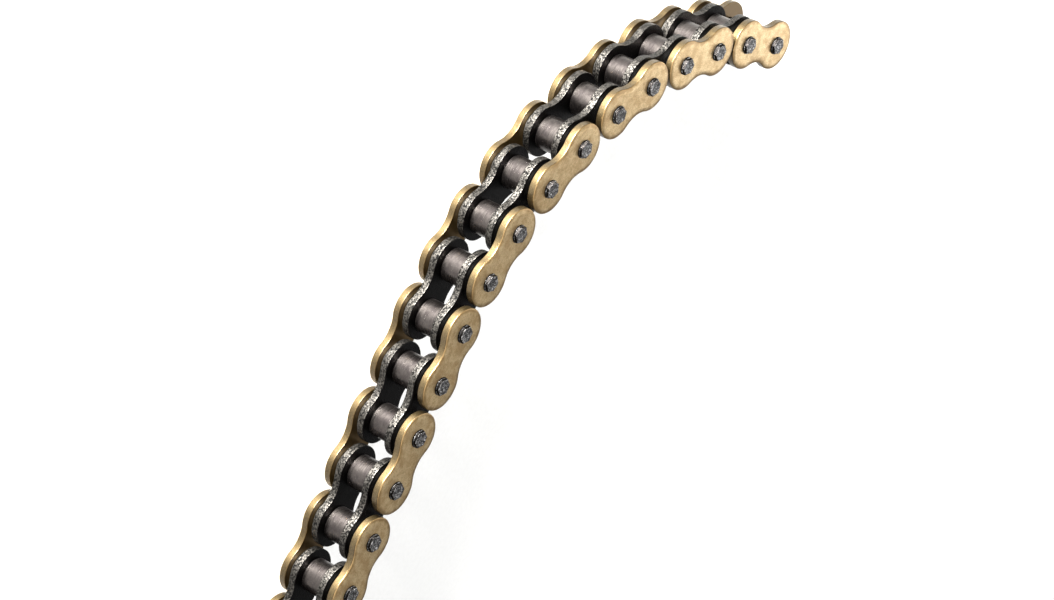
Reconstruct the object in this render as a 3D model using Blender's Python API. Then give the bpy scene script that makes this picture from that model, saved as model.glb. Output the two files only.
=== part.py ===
"""A length of sealed motorcycle drive chain, lying on its side.

Nine outer links and eight inner links are joined by hinge pins. The pins stand
upright along +Z. The chain starts straight at +X, runs towards -X and then curls
towards +Y, as it does where it runs on to a rear sprocket.
Units are metres.
"""

import math

import bmesh
import bpy
from mathutils import Matrix, Vector

MM = 0.001

# Chain size: 5/8 inch pitch, 5/16 inch inner width.
PITCH = 15.875 * MM
INNER_WIDTH = 7.94 * MM
ROLLER_RADIUS = 5.08 * MM

# Plates: figure-eight outlines with round ends and a waist.
PLATE_END_RADIUS = 7.6 * MM
PLATE_WAIST_HALF = 5.5 * MM
INNER_PLATE_THICKNESS = 2.4 * MM
OUTER_PLATE_THICKNESS = 2.2 * MM
SEAL_GAP = 1.4 * MM

# Pins, bushings and rollers.
PIN_RADIUS = 2.70 * MM
PIN_HEAD_HEIGHT = 1.1 * MM
PIN_CHAMFER = 0.35 * MM
PIN_HOLE_RADIUS = 2.78 * MM
BUSHING_BORE_RADIUS = 2.92 * MM
BUSHING_RADIUS = 3.62 * MM
ROLLER_BORE_RADIUS = 3.98 * MM
ROLLER_END_GAP = 0.25 * MM

# Chain length and the shape it lies in.
OUTER_LINKS = 9
STRAIGHT_JOINTS = 6
LEAD_IN_BEND = math.radians(6.0)
WRAP_BEND = math.radians(7.9)
START_HEADING = math.radians(180.0)
FIXED_OUTER_LINK = 5

# How finely round shapes are divided.
END_ARC_STEPS = 14
WAIST_ARC_STEPS = 5
PIN_SIDES = 16
ROLLER_SIDES = 20

# Sizes that follow from the ones above.
INNER_FACE = INNER_WIDTH / 2
INNER_PLATE_OUTSIDE = INNER_FACE + INNER_PLATE_THICKNESS
OUTER_PLATE_INSIDE = INNER_PLATE_OUTSIDE + SEAL_GAP
OUTER_PLATE_OUTSIDE = OUTER_PLATE_INSIDE + OUTER_PLATE_THICKNESS
PIN_HALF_LENGTH = OUTER_PLATE_OUTSIDE + PIN_HEAD_HEIGHT
STATIONS = 2 * OUTER_LINKS
FIXED_STATION = 2 * FIXED_OUTER_LINK - 1


def clear_scene():
    """Removes every object that the file starts with."""
    for obj in list(bpy.data.objects):
        bpy.data.objects.remove(obj, do_unlink=True)


def make_material(name, colour, metallic, roughness):
    """Returns a Principled material."""
    material = bpy.data.materials.new(name)
    material.use_nodes = True
    shader = material.node_tree.nodes["Principled BSDF"]
    shader.inputs["Base Color"].default_value = (*colour, 1.0)
    shader.inputs["Metallic"].default_value = metallic
    shader.inputs["Roughness"].default_value = roughness
    return material


def arc(centre, radius, start, end, steps):
    """Points along an arc, with its first point and without its last one."""
    points = []
    for step in range(steps):
        angle = start + (end - start) * step / steps
        points.append(centre + radius * Vector((math.cos(angle), math.sin(angle))))
    return points


def plate_outline():
    """The figure-eight outline, from the pin at x = 0 to the pin at x = PITCH.

    Each side's hollow is an arc that meets both round ends in a smooth line.
    """
    half_pitch = PITCH / 2
    spare = half_pitch**2 + PLATE_WAIST_HALF**2 - PLATE_END_RADIUS**2
    hollow_radius = spare / (2 * (PLATE_END_RADIUS - PLATE_WAIST_HALF))
    hollow_centre = PLATE_WAIST_HALF + hollow_radius
    meet = math.atan2(hollow_centre, half_pitch)
    first_end = Vector((0.0, 0.0))
    second_end = Vector((PITCH, 0.0))
    below = Vector((half_pitch, -hollow_centre))
    above = Vector((half_pitch, hollow_centre))
    outline = arc(first_end, PLATE_END_RADIUS, meet, 2 * math.pi - meet, END_ARC_STEPS)
    outline += arc(below, hollow_radius, math.pi - meet, meet, WAIST_ARC_STEPS)
    outline += arc(second_end, PLATE_END_RADIUS, meet - math.pi, math.pi - meet, END_ARC_STEPS)
    outline += arc(above, hollow_radius, -meet, meet - math.pi, WAIST_ARC_STEPS)
    return outline


def circle(centre_x, radius, sides):
    """The points of a circle around a pin at centre_x."""
    return arc(Vector((centre_x, 0.0)), radius, 0.0, 2 * math.pi, sides)


def add_loop(mesh, points, height):
    """Adds a closed loop of edges at the given height and returns its edges."""
    corners = [mesh.verts.new((point.x, point.y, height)) for point in points]
    edges = []
    for index, corner in enumerate(corners):
        edges.append(mesh.edges.new((corner, corners[(index + 1) % len(corners)])))
    return edges


def add_face_with_holes(mesh, loops):
    """Fills the area between an outline and the holes inside it."""
    edges = [edge for loop in loops for edge in loop]
    bmesh.ops.triangle_fill(mesh, use_beauty=True, edges=edges, normal=(0.0, 0.0, 1.0))


def add_wall(mesh, lower, upper):
    """Joins two loops of the same number of points with a wall."""
    bmesh.ops.bridge_loops(mesh, edges=lower + upper)


def finish_mesh(mesh, name):
    """Turns the faces outwards, shades round stretches smooth and returns a mesh."""
    bmesh.ops.recalc_face_normals(mesh, faces=mesh.faces)
    data = bpy.data.meshes.new(name)
    mesh.to_mesh(data)
    mesh.free()
    data.shade_smooth()
    data.set_sharp_from_angle(angle=math.radians(35.0))
    return data


def outer_plate_mesh():
    """One outer plate with its two pin holes, standing on z = 0."""
    mesh = bmesh.new()
    levels = []
    for height in (0.0, OUTER_PLATE_THICKNESS):
        outline = add_loop(mesh, plate_outline(), height)
        holes = [add_loop(mesh, circle(x, PIN_HOLE_RADIUS, PIN_SIDES), height) for x in (0.0, PITCH)]
        levels.append([outline, *holes])
        add_face_with_holes(mesh, levels[-1])
    for lower, upper in zip(*levels):
        add_wall(mesh, lower, upper)
    return finish_mesh(mesh, "outer_plate")


def inner_frame_mesh():
    """Two inner plates pressed on two bushings, centred on z = 0."""
    mesh = bmesh.new()
    outlines = {}
    bores = {}
    collars = {}
    for side in (-1, 1):
        outside = side * INNER_PLATE_OUTSIDE
        inside = side * INNER_FACE
        outlines[side, "outside"] = add_loop(mesh, plate_outline(), outside)
        outlines[side, "inside"] = add_loop(mesh, plate_outline(), inside)
        bores[side] = [add_loop(mesh, circle(x, BUSHING_BORE_RADIUS, PIN_SIDES), outside)
                       for x in (0.0, PITCH)]
        collars[side] = [add_loop(mesh, circle(x, BUSHING_RADIUS, PIN_SIDES), inside)
                         for x in (0.0, PITCH)]
        add_face_with_holes(mesh, [outlines[side, "outside"], *bores[side]])
        add_face_with_holes(mesh, [outlines[side, "inside"], *collars[side]])
        add_wall(mesh, outlines[side, "outside"], outlines[side, "inside"])
    for end in (0, 1):
        add_wall(mesh, bores[-1][end], bores[1][end])
        add_wall(mesh, collars[-1][end], collars[1][end])
    return finish_mesh(mesh, "inner_frame")


def turned_mesh(name, profile, sides, closed):
    """Spins a profile of (radius, height) points around the Z axis."""
    mesh = bmesh.new()
    corners = [mesh.verts.new((radius, 0.0, height)) for radius, height in profile]
    pairs = list(zip(corners, corners[1:]))
    if closed:
        pairs.append((corners[-1], corners[0]))
    edges = [mesh.edges.new(pair) for pair in pairs]
    bmesh.ops.spin(
        mesh,
        geom=corners + edges,
        cent=(0.0, 0.0, 0.0),
        axis=(0.0, 0.0, 1.0),
        angle=2 * math.pi,
        steps=sides,
        use_merge=True,
    )
    bmesh.ops.remove_doubles(mesh, verts=mesh.verts, dist=0.001 * MM)
    return finish_mesh(mesh, name)


def pin_mesh():
    """A hinge pin with a chamfered head at each end, centred on z = 0."""
    flat = PIN_RADIUS - PIN_CHAMFER
    shoulder = PIN_HALF_LENGTH - PIN_CHAMFER
    profile = [
        (0.0, -PIN_HALF_LENGTH),
        (flat, -PIN_HALF_LENGTH),
        (PIN_RADIUS, -shoulder),
        (PIN_RADIUS, shoulder),
        (flat, PIN_HALF_LENGTH),
        (0.0, PIN_HALF_LENGTH),
    ]
    return turned_mesh("pin", profile, PIN_SIDES, closed=False)


def roller_mesh():
    """A plain roller that turns on a bushing, centred on z = 0."""
    half_length = INNER_FACE - ROLLER_END_GAP
    profile = [
        (ROLLER_BORE_RADIUS, -half_length),
        (ROLLER_RADIUS, -half_length),
        (ROLLER_RADIUS, half_length),
        (ROLLER_BORE_RADIUS, half_length),
    ]
    return turned_mesh("roller", profile, ROLLER_SIDES, closed=True)


def rest_bend(station):
    """How far the chain turns at a pin, clockwise seen from above."""
    lead_in_station = STRAIGHT_JOINTS + 2
    if station < lead_in_station:
        return 0.0
    if station == lead_in_station:
        return LEAD_IN_BEND
    return WRAP_BEND


def chain_path():
    """Pin places and link headings, with the chain's bounding box centred on x = y = 0.

    Pins are numbered from 1. Link n runs from pin n to pin n + 1.
    """
    places = {1: Vector((0.0, 0.0))}
    headings = {}
    heading = START_HEADING
    for station in range(1, STATIONS):
        if station > 1:
            heading -= rest_bend(station)
        headings[station] = heading
        places[station + 1] = places[station] + PITCH * Vector((math.cos(heading), math.sin(heading)))
    corners = []
    for station, heading in headings.items():
        turn = Matrix.Rotation(heading, 2)
        corners += [places[station] + turn @ point for point in plate_outline()]
    low = Vector((min(corner.x for corner in corners), min(corner.y for corner in corners)))
    high = Vector((max(corner.x for corner in corners), max(corner.y for corner in corners)))
    centre = (low + high) / 2
    return {station: place - centre for station, place in places.items()}, headings


def add_link_axis(name, link, places, headings):
    """An empty on the axis that the link turns about, pointing along the link.

    Links before the fixed one turn about their last pin and the others about their
    first. The second value returned is where the link's first pin lies along x.
    """
    turns_about_last = link < FIXED_STATION
    station = link + 1 if turns_about_last else link
    axis = bpy.data.objects.new(name, None)
    axis.empty_display_size = PITCH / 2
    axis.location = (*places[station], PIN_HALF_LENGTH)
    axis.rotation_euler = (0.0, 0.0, headings[link])
    bpy.context.collection.objects.link(axis)
    return axis, -PITCH if turns_about_last else 0.0


def add_part(name, data, material, parent, location):
    """Places a named piece on its parent empty."""
    part = bpy.data.objects.new(name, data)
    part.location = location
    part.parent = parent
    if not data.materials:
        data.materials.append(material)
    bpy.context.collection.objects.link(part)
    return part


def build_outer_link(number, path, meshes, materials):
    """Two plates on two pins."""
    first_station = 2 * number - 1
    axis, start = add_link_axis(f"outer_link_{number}_axis", first_station, *path)
    add_part(f"outer_plate_top_{number}", meshes["outer_plate"], materials["gold"], axis,
             (start, 0.0, OUTER_PLATE_INSIDE))
    add_part(f"outer_plate_bottom_{number}", meshes["outer_plate"], materials["gold"], axis,
             (start, 0.0, -OUTER_PLATE_OUTSIDE))
    for end in (0, 1):
        add_part(f"pin_{first_station + end:02d}", meshes["pin"], materials["pin"], axis,
                 (start + end * PITCH, 0.0, 0.0))


def build_inner_link(number, path, meshes, materials):
    """Two plates pressed on two bushings, and a roller on each bushing."""
    first_station = 2 * number
    axis, start = add_link_axis(f"inner_link_{number}_axis", first_station, *path)
    add_part(f"inner_link_frame_{number}", meshes["inner_frame"], materials["black"], axis,
             (start, 0.0, 0.0))
    for end in (0, 1):
        add_part(f"roller_{first_station + end:02d}", meshes["roller"], materials["roller"], axis,
                 (start + end * PITCH, 0.0, 0.0))


def main():
    clear_scene()
    materials = {
        "gold": make_material("gold_plated_steel", (0.50, 0.37, 0.18), 1.0, 0.38),
        "black": make_material("black_oxide_steel", (0.030, 0.030, 0.032), 1.0, 0.42),
        "pin": make_material("hardened_pin_steel", (0.16, 0.16, 0.17), 1.0, 0.35),
        "roller": make_material("dark_roller_steel", (0.075, 0.072, 0.072), 1.0, 0.30),
    }
    meshes = {
        "outer_plate": outer_plate_mesh(),
        "inner_frame": inner_frame_mesh(),
        "pin": pin_mesh(),
        "roller": roller_mesh(),
    }
    path = chain_path()
    for number in range(1, OUTER_LINKS + 1):
        build_outer_link(number, path, meshes, materials)
    for number in range(1, OUTER_LINKS):
        build_inner_link(number, path, meshes, materials)


main()
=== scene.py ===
"""Looks for a length of sealed motorcycle drive chain.

The chain lies on its side with its pins upright. Every plate, pin, bushing, roller and
seal ring is modelled here in link coordinates (x along the link, z along the pins) and
then laid on the link or roller body that it belongs to. Units are metres.
"""

import math
import random

import bmesh
import bpy
from bpy.props import FloatProperty, FloatVectorProperty, IntProperty, PointerProperty
from mathutils import Matrix, Quaternion, Vector


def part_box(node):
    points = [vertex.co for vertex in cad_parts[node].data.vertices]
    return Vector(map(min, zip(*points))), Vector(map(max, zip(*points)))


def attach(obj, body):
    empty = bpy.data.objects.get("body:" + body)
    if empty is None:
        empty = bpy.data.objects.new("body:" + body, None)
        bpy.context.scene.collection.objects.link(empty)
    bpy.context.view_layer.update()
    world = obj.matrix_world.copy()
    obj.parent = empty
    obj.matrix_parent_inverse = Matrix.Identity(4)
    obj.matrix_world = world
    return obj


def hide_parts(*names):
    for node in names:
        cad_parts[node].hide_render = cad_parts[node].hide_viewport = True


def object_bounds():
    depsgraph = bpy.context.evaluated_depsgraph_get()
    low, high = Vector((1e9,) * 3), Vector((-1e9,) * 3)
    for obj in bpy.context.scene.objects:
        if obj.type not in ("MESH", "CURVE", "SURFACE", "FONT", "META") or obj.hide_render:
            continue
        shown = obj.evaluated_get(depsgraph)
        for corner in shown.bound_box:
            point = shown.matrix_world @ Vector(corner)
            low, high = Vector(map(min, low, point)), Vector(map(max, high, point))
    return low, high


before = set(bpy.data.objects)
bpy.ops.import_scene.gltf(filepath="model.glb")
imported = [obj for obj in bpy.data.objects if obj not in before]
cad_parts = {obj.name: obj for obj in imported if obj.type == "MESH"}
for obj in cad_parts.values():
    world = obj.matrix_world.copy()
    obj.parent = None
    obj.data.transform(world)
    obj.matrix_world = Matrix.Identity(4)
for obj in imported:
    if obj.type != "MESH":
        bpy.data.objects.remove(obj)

bl_info = {
    "name": "Sealed Drive Chain",
    "version": (1, 0, 0),
    "blender": (4, 5, 0),
    "location": "3D View > Sidebar > Drive Chain",
    "description": "Models a length of sealed motorcycle chain on its packed frame",
    "category": "Object",
}

MM = 0.001
TOUCHING = 0.01 * MM
CAD_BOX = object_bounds()
CHAIN_CENTRE = (CAD_BOX[0] + CAD_BOX[1]) / 2


# ---------------------------------------------------------------- places from the frame

def node_centre(node):
    """The middle of a CAD node's box."""
    low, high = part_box(node)
    return (low + high) / 2


OUTER_LINKS = sum(1 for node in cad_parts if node.startswith("outer_plate_top_"))
STATIONS = 2 * OUTER_LINKS
PIN_PLACES = {number: node_centre(f"pin_{number:02d}") for number in range(1, STATIONS + 1)}
MIDDLE_HEIGHT = PIN_PLACES[1].z
PITCH = (PIN_PLACES[2] - PIN_PLACES[1]).length

FIRST_TOP_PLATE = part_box("outer_plate_top_1")
OUTER_PLATE_INSIDE = FIRST_TOP_PLATE[0].z - MIDDLE_HEIGHT
OUTER_PLATE_OUTSIDE = FIRST_TOP_PLATE[1].z - MIDDLE_HEIGHT
PLATE_END_RADIUS = (FIRST_TOP_PLATE[1].y - FIRST_TOP_PLATE[0].y) / 2
INNER_PLATE_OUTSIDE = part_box("inner_link_frame_1")[1].z - MIDDLE_HEIGHT
ROLLER_HALF_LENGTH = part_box("roller_02")[1].z - MIDDLE_HEIGHT
ROLLER_RADIUS = (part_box("roller_02")[1].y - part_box("roller_02")[0].y) / 2
PIN_RADIUS = (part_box("pin_01")[1].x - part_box("pin_01")[0].x) / 2
PIN_HALF_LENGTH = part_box("pin_01")[1].z - MIDDLE_HEIGHT


def link_matrix(link):
    """Where link coordinates lie for the link that starts at this pin."""
    along = PIN_PLACES[link + 1] - PIN_PLACES[link]
    heading = math.atan2(along.y, along.x)
    return Matrix.Translation(PIN_PLACES[link]) @ Matrix.Rotation(heading, 4, "Z")


# ---------------------------------------------------------------- modelling constants

# Each step of a plate's crown: its share of the crown's width, and of its height.
CROWN_STEPS = ((0.22, 0.42), (0.22, 0.28), (0.26, 0.20), (0.30, 0.10))
# How far above a plate's inner face the painted shade between the plates reaches.
INNER_SHADE_REACH = 0.2 * MM
# A pin head is made a little slimmer than the pin and sunk into it, so that the two join.
HEAD_SLIMMER = 0.02 * MM
HEAD_SINK = 0.3 * MM
HEAD_FLATS = 6
# The crushed top stops short of the head's edge, and fades in over this width.
CRUSH_MARGIN = 0.45 * MM
CRUSH_FADE = 0.5 * MM
CRUSH_WAVES = 7
PIN_SIDES = 96
TUBE_SIDES = 112
# The floor lies this far below the lowest pin head, so that the two don't flicker.
FLOOR_GAP = 0.1 * MM
# Inputs and output of the Mix node when it mixes colours, and inputs when it mixes numbers.
COLOUR_A, COLOUR_B, COLOUR_RESULT = 6, 7, 2
NUMBER_A, NUMBER_B = 2, 3


# ---------------------------------------------------------------- colours and nodes

def linear(hex_colour):
    """An sRGB hex colour as linear red, green, blue and alpha."""
    channels = []
    for start in (1, 3, 5):
        value = int(hex_colour[start:start + 2], 16) / 255
        channels.append(value / 12.92 if value <= 0.04045 else ((value + 0.055) / 1.055) ** 2.4)
    return (*channels, 1.0)


def add_node(tree, kind, inputs=None, **settings):
    """Adds a node, sets its properties, and sets or links its inputs."""
    node = tree.nodes.new(kind)
    for name, value in settings.items():
        setattr(node, name, value)
    for socket, value in (inputs or {}).items():
        if isinstance(value, bpy.types.NodeSocket):
            tree.links.new(value, node.inputs[socket])
        else:
            node.inputs[socket].default_value = value
    return node


def new_material(name):
    """An empty node material with a Principled shader, and that shader."""
    material = bpy.data.materials.new(name)
    material.use_nodes = True
    tree = material.node_tree
    return material, tree, tree.nodes["Principled BSDF"]


def per_metre(feature_mm):
    """A texture scale whose features are about this many millimetres across."""
    return 1000.0 / feature_mm


def opaque(colour):
    """A colour property's red, green and blue, with full alpha."""
    return (*colour, 1.0)


def rim_share(tree):
    """1 on the upright rim of a plate or side of a pin, 0 on flat faces."""
    normal = add_node(tree, "ShaderNodeTexCoord").outputs["Normal"]
    upright = add_node(tree, "ShaderNodeSeparateXYZ", {"Vector": normal}).outputs["Z"]
    size = add_node(tree, "ShaderNodeMath", {0: upright}, operation="ABSOLUTE").outputs["Value"]
    return add_node(tree, "ShaderNodeMapRange", {
        "Value": size, "From Min": 0.35, "From Max": 0.75, "To Min": 1.0, "To Max": 0.0,
    }, interpolation_type="SMOOTHSTEP").outputs["Result"]


# ---------------------------------------------------------------- materials

def gold_plated_steel(colours):
    """Gold-coloured plating on fine-blanked steel, tumbled to a satin.

    The faces are satin with faint streaks, brownish clouds and fine specks where the plating
    is thin, and a cloudy band where tumbling rounded them towards the rim is painted browner as
    shade. The sheared rim is rougher and painted dark as shade, so the light on it breaks up into
    grains. A film of oil lies on all of it, and the inner faces are painted dark as shade.
    """
    material, tree, shader = new_material("gold_plated_steel")
    position = add_node(
        tree, "ShaderNodeAttribute", attribute_name="piece_position",
    ).outputs["Vector"]
    gold = opaque(colours.gold)
    gold_shade = opaque(colours.gold_shade)
    gold_stain_and_shade = opaque(colours.gold_stain_and_shade)

    clouds = add_node(tree, "ShaderNodeTexNoise", {
        "Vector": position, "Scale": per_metre(2.6), "Detail": 4.0, "Roughness": 0.6,
    }).outputs["Fac"]
    cloudiness = add_node(tree, "ShaderNodeMapRange", {
        "Value": clouds, "From Min": 0.35, "From Max": 0.68, "To Min": 0.0, "To Max": 0.9,
    }, interpolation_type="SMOOTHSTEP").outputs["Result"]
    base = add_node(tree, "ShaderNodeMix", {
        "Factor": cloudiness, COLOUR_A: gold, COLOUR_B: gold_shade,
    }, data_type="RGBA").outputs[COLOUR_RESULT]
    grain = add_node(tree, "ShaderNodeMapping", {
        "Vector": position, "Scale": (0.55, 1.0, 1.0),
    }).outputs["Vector"]
    streaks = add_node(tree, "ShaderNodeTexNoise", {
        "Vector": grain, "Scale": per_metre(0.32), "Detail": 3.0, "Roughness": 0.65,
    }).outputs["Fac"]
    streak_share = add_node(tree, "ShaderNodeMapRange", {
        "Value": streaks, "From Min": 0.42, "From Max": 0.66, "To Min": 0.0, "To Max": 0.34,
    }, interpolation_type="SMOOTHSTEP").outputs["Result"]
    base = add_node(tree, "ShaderNodeMix", {
        "Factor": streak_share, COLOUR_A: base, COLOUR_B: gold_stain_and_shade,
    }, data_type="RGBA").outputs[COLOUR_RESULT]
    # Painted shade: a cloudy band towards the rim, where the face is rounded off, is painted
    # browner.
    nearness = add_node(tree, "ShaderNodeAttribute", attribute_name="rim_nearness").outputs["Fac"]
    band = add_node(tree, "ShaderNodeMath", {
        0: nearness, 1: clouds,
    }, operation="MULTIPLY").outputs["Value"]
    rim_band_shade = add_node(tree, "ShaderNodeMapRange", {
        "Value": band, "From Min": 0.08, "From Max": 0.40, "To Min": 0.0, "To Max": 0.85,
    }, interpolation_type="SMOOTHSTEP").outputs["Result"]
    base = add_node(tree, "ShaderNodeMix", {
        "Factor": rim_band_shade, COLOUR_A: base, COLOUR_B: gold_stain_and_shade,
    }, data_type="RGBA").outputs[COLOUR_RESULT]
    specks = add_node(tree, "ShaderNodeTexNoise", {
        "Vector": position, "Scale": per_metre(0.40), "Detail": 4.0, "Roughness": 0.7,
    }).outputs["Fac"]
    thin_plating = add_node(tree, "ShaderNodeMapRange", {
        "Value": specks, "From Min": 0.50, "From Max": 0.66, "To Min": 0.0, "To Max": 0.42,
    }, interpolation_type="SMOOTHSTEP").outputs["Result"]
    base = add_node(tree, "ShaderNodeMix", {
        "Factor": thin_plating, COLOUR_A: base, COLOUR_B: gold_stain_and_shade,
    }, data_type="RGBA").outputs[COLOUR_RESULT]
    # Painted shade: the inner face of each plate is painted dark for the shade between the
    # plates.
    inner_face_shade = add_node(
        tree, "ShaderNodeAttribute", attribute_name="sheltered_face",
    ).outputs["Fac"]
    base = add_node(tree, "ShaderNodeMix", {
        "Factor": inner_face_shade, COLOUR_A: base, COLOUR_B: opaque(colours.gold_inner_shade),
    }, data_type="RGBA").outputs[COLOUR_RESULT]

    speck_share = add_node(tree, "ShaderNodeMapRange", {
        "Value": specks, "From Min": 0.44, "From Max": 0.62, "To Min": 0.0, "To Max": 0.8,
    }, interpolation_type="SMOOTHSTEP").outputs["Result"]
    # Painted shade: the sheared rim gets a dark colour, with duller grains, for the shade it
    # falls in.
    painted_rim_shade = add_node(tree, "ShaderNodeMix", {
        "Factor": speck_share, COLOUR_A: opaque(colours.gold_rim_shade),
        COLOUR_B: opaque(colours.gold_rim_worn),
    }, data_type="RGBA").outputs[COLOUR_RESULT]
    rim = rim_share(tree)
    base = add_node(tree, "ShaderNodeMix", {
        "Factor": rim, COLOUR_A: base, COLOUR_B: painted_rim_shade,
    }, data_type="RGBA").outputs[COLOUR_RESULT]
    tree.links.new(base, shader.inputs["Base Color"])

    face_roughness = add_node(tree, "ShaderNodeMapRange", {
        "Value": streaks, "From Min": 0.30, "From Max": 0.70, "To Min": 0.31, "To Max": 0.42,
    }, interpolation_type="SMOOTHSTEP").outputs["Result"]
    rim_roughness = add_node(tree, "ShaderNodeMapRange", {
        "Value": specks, "From Min": 0.35, "From Max": 0.70, "To Min": 0.36, "To Max": 0.48,
    }, interpolation_type="SMOOTHSTEP").outputs["Result"]
    roughness = add_node(tree, "ShaderNodeMix", {
        "Factor": rim, NUMBER_A: face_roughness, NUMBER_B: rim_roughness,
    }).outputs["Result"]
    tree.links.new(roughness, shader.inputs["Roughness"])
    shader.inputs["Metallic"].default_value = 1.0
    shader.inputs["Coat Weight"].default_value = 0.35
    shader.inputs["Coat Roughness"].default_value = 0.30

    ripple = add_node(tree, "ShaderNodeTexNoise", {
        "Vector": position, "Scale": per_metre(1.6), "Detail": 2.0,
    }).outputs["Fac"]
    rippled = add_node(tree, "ShaderNodeBump", {
        "Height": ripple, "Strength": 0.35, "Distance": 0.05 * MM,
    }).outputs["Normal"]
    streaked = add_node(tree, "ShaderNodeBump", {
        "Height": streaks, "Strength": 0.40, "Distance": 0.03 * MM, "Normal": rippled,
    }).outputs["Normal"]
    rim_grains = add_node(tree, "ShaderNodeMath", {
        0: specks, 1: rim,
    }, operation="MULTIPLY").outputs["Value"]
    normal = add_node(tree, "ShaderNodeBump", {
        "Height": rim_grains, "Strength": 0.60, "Distance": 0.06 * MM, "Normal": streaked,
    }).outputs["Normal"]
    tree.links.new(normal, shader.inputs["Normal"])
    return material


def black_oxide_steel(colours):
    """Black-oxide steel plates whose rims were shot-peened back to bare steel.

    The faces are a deep satin black; the rims sparkle silver-grey from the peened dimples.
    """
    material, tree, shader = new_material("black_oxide_steel")
    position = add_node(
        tree, "ShaderNodeAttribute", attribute_name="piece_position",
    ).outputs["Vector"]
    cells = {"Vector": position, "Scale": per_metre(0.30)}
    dimples = add_node(tree, "ShaderNodeTexVoronoi", cells, feature="SMOOTH_F1")
    fleck = add_node(tree, "ShaderNodeTexNoise", {
        "Vector": position, "Scale": per_metre(0.50), "Detail": 4.0, "Roughness": 0.7,
    }).outputs["Fac"]
    fleck_share = add_node(tree, "ShaderNodeMapRange", {
        "Value": fleck, "From Min": 0.46, "From Max": 0.56, "To Min": 0.0, "To Max": 1.0,
    }, interpolation_type="SMOOTHSTEP").outputs["Result"]
    bare = add_node(tree, "ShaderNodeMix", {
        "Factor": fleck_share, COLOUR_A: opaque(colours.peened_dark),
        COLOUR_B: opaque(colours.peened_bright),
    }, data_type="RGBA").outputs[COLOUR_RESULT]
    rim = rim_share(tree)
    base = add_node(tree, "ShaderNodeMix", {
        "Factor": rim, COLOUR_A: opaque(colours.black_oxide), COLOUR_B: bare,
    }, data_type="RGBA").outputs[COLOUR_RESULT]
    tree.links.new(base, shader.inputs["Base Color"])

    haze = add_node(tree, "ShaderNodeTexNoise", {
        "Vector": position, "Scale": per_metre(2.5), "Detail": 3.0,
    }).outputs["Fac"]
    face_roughness = add_node(tree, "ShaderNodeMapRange", {
        "Value": haze, "From Min": 0.30, "From Max": 0.70, "To Min": 0.34, "To Max": 0.46,
    }, interpolation_type="SMOOTHSTEP").outputs["Result"]
    roughness = add_node(tree, "ShaderNodeMix", {
        "Factor": rim, NUMBER_A: face_roughness, NUMBER_B: 0.45,
    }).outputs["Result"]
    tree.links.new(roughness, shader.inputs["Roughness"])
    shader.inputs["Metallic"].default_value = 1.0

    hazed = add_node(tree, "ShaderNodeBump", {
        "Height": haze, "Strength": 0.20, "Distance": 0.04 * MM,
    }).outputs["Normal"]
    dimpled = add_node(tree, "ShaderNodeBump", {
        "Height": dimples.outputs["Distance"], "Strength": 0.80, "Distance": 0.08 * MM,
        "Normal": hazed,
    }).outputs["Normal"]
    tree.links.new(dimpled, shader.inputs["Normal"])
    return material


def ground_roller_steel(colours):
    """Hardened roller steel, dark from heat treatment and ground round.

    Fine rings run round it, it has a soft satin highlight, and faint oil clouds dull it.
    """
    material, tree, shader = new_material("ground_roller_steel")
    position = add_node(
        tree, "ShaderNodeAttribute", attribute_name="piece_position",
    ).outputs["Vector"]
    clouds = add_node(tree, "ShaderNodeTexNoise", {
        "Vector": position, "Scale": per_metre(2.2), "Detail": 3.0,
    }).outputs["Fac"]
    shade = add_node(tree, "ShaderNodeMapRange", {
        "Value": clouds, "From Min": 0.35, "From Max": 0.65, "To Min": 0.0, "To Max": 1.0,
    }, interpolation_type="SMOOTHSTEP").outputs["Result"]
    base = add_node(tree, "ShaderNodeMix", {
        "Factor": shade, COLOUR_A: opaque(colours.roller), COLOUR_B: opaque(colours.roller_shade),
    }, data_type="RGBA").outputs[COLOUR_RESULT]
    tree.links.new(base, shader.inputs["Base Color"])
    turned = add_node(tree, "ShaderNodeMapping", {
        "Vector": position, "Scale": (0.08, 0.08, 1.0),
    }).outputs["Vector"]
    rings = add_node(tree, "ShaderNodeTexNoise", {
        "Vector": turned, "Scale": per_metre(0.18), "Detail": 2.0,
    }).outputs["Fac"]
    roughness = add_node(tree, "ShaderNodeMapRange", {
        "Value": rings, "From Min": 0.30, "From Max": 0.70, "To Min": 0.26, "To Max": 0.34,
    }, interpolation_type="SMOOTHSTEP").outputs["Result"]
    tree.links.new(roughness, shader.inputs["Roughness"])
    shader.inputs["Metallic"].default_value = 1.0
    clouded = add_node(tree, "ShaderNodeBump", {
        "Height": clouds, "Strength": 0.08, "Distance": 0.05 * MM,
    }).outputs["Normal"]
    normal = add_node(tree, "ShaderNodeBump", {
        "Height": rings, "Strength": 0.25, "Distance": 0.01 * MM, "Normal": clouded,
    }).outputs["Normal"]
    tree.links.new(normal, shader.inputs["Normal"])
    return material


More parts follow.
